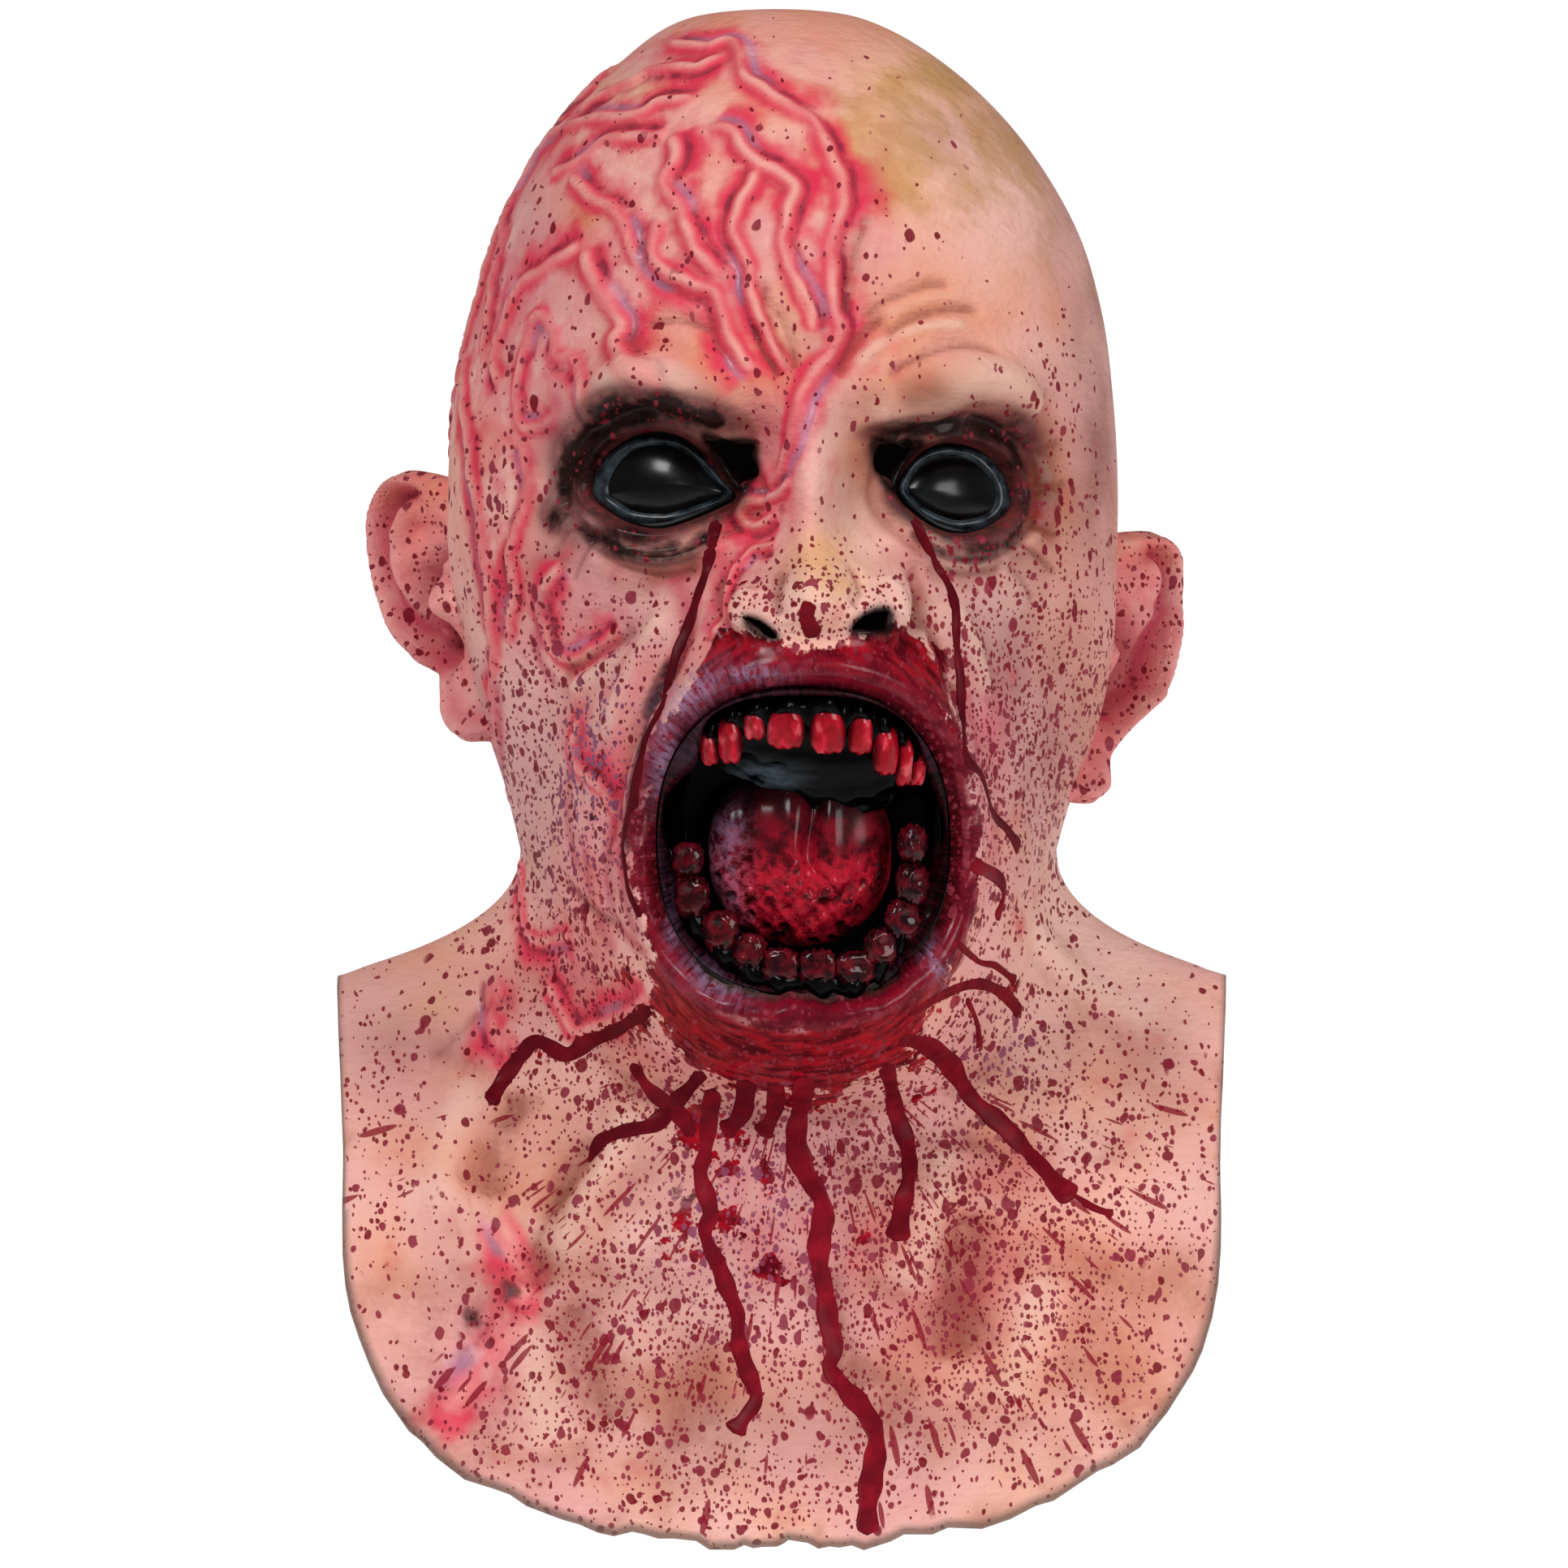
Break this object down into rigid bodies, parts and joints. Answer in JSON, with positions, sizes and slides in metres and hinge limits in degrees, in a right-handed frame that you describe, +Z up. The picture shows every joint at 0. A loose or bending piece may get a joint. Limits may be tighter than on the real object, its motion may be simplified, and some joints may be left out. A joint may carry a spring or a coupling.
{
  "type": "over-the-head zombie mask",
  "caption": "Thin latex over-the-head mask of a bald undead face with a gaping toothed mouth, black eyes, ears, neck and a shoulder bib.",
  "frame": {"origin": "the inner side of the crown, where the mask sits on the top of the wearer's head", "axes": "+Z up through the crown, -Y out of the face, +X to the right as seen from the front"},
  "size_m": [0.2624, 0.2504, 0.446],
  "materials": {
    "latex": "matt painted latex, pale pink with airbrushed veins and blood",
    "mouth_lining": "glossy black red",
    "gums": "glossy dark maroon",
    "teeth_upper": "wet bright red over ivory",
    "teeth_lower": "wet dark red",
    "tongue": "glossy dark red",
    "eyes": "glossy black"
  },
  "bodies": {
    "root": {"skin": "latex", "mouth_lining": "mouth_lining", "upper_gum": "gums", "lower_gum": "gums", "upper_tooth_1": "teeth_upper", "upper_tooth_2": "teeth_upper", "upper_tooth_3": "teeth_upper", "upper_tooth_4": "teeth_upper", "upper_tooth_5": "teeth_upper", "upper_tooth_6": "teeth_upper", "upper_tooth_7": "teeth_upper", "upper_tooth_8": "teeth_upper", "upper_tooth_9": "teeth_upper", "lower_tooth_1": "teeth_lower", "lower_tooth_2": "teeth_lower", "lower_tooth_3": "teeth_lower", "lower_tooth_4": "teeth_lower", "lower_tooth_5": "teeth_lower", "lower_tooth_6": "teeth_lower", "lower_tooth_7": "teeth_lower", "lower_tooth_8": "teeth_lower", "lower_tooth_9": "teeth_lower", "lower_tooth_10": "teeth_lower", "lower_tooth_11": "teeth_lower", "tongue": "tongue", "eye_left": "eyes", "eye_right": "eyes"}
  },
  "joints": []
}
